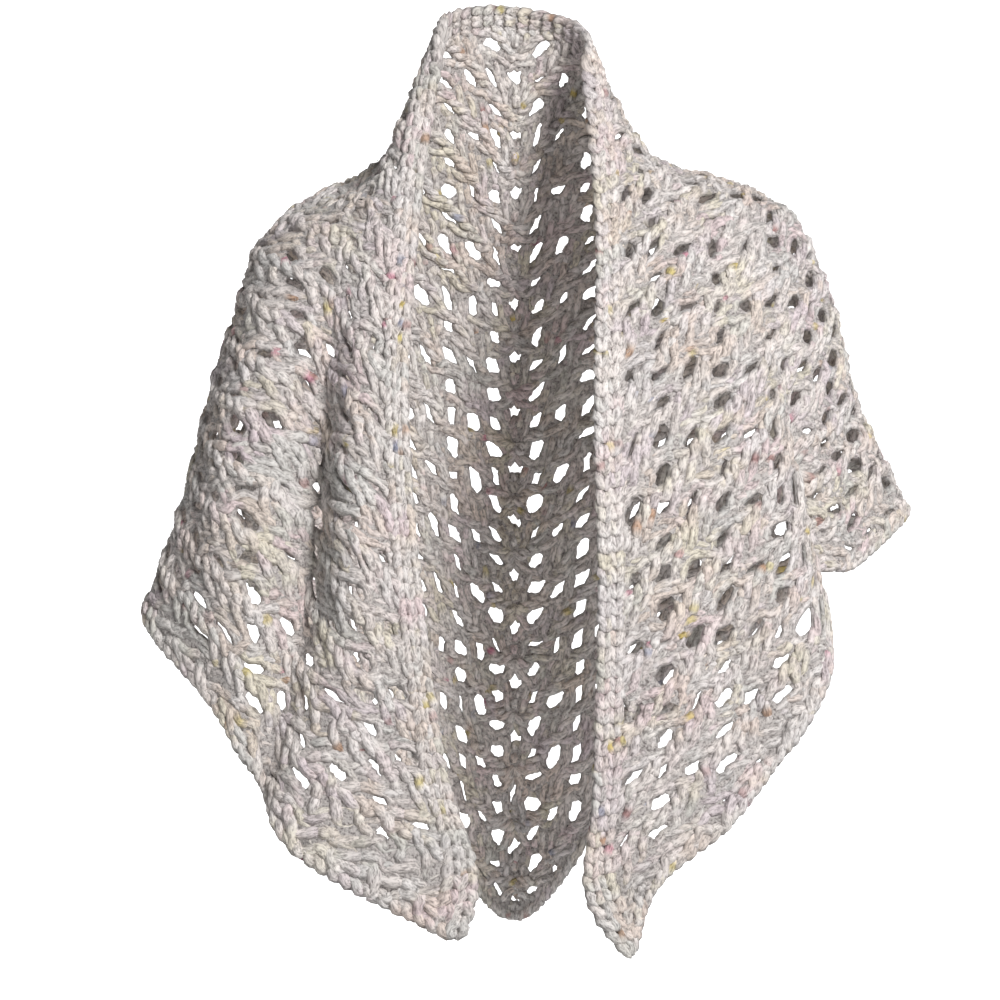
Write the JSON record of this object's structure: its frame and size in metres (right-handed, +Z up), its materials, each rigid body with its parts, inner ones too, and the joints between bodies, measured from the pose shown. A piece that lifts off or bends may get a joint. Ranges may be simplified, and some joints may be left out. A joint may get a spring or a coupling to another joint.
{
  "type": "crocheted triangular shawl, worn",
  "caption": "Hand-crocheted openwork triangular shawl in chunky fluffy speckled yarn, hanging as worn round the neck and shoulders, with a braided long edge and two front tips.",
  "frame": {"origin": "the middle of the neck hollow at shoulder level, where the wearer's neck and shoulders hold the shawl", "axes": "+Z up, the front and its two tips face -Y, +X is the viewer's right seen from the front"},
  "size_m": [0.6004, 0.2605, 0.741],
  "materials": {
    "net_yarn": "fluffy cream cotton yarn with pale pink, lilac, yellow and grey patches and small bright flecks",
    "edging_yarn": "the same yarn worked as chains side by side"
  },
  "bodies": {
    "root": {"net": "net_yarn", "long_edge_band": "edging_yarn", "hem_edging": "edging_yarn"}
  },
  "joints": []
}
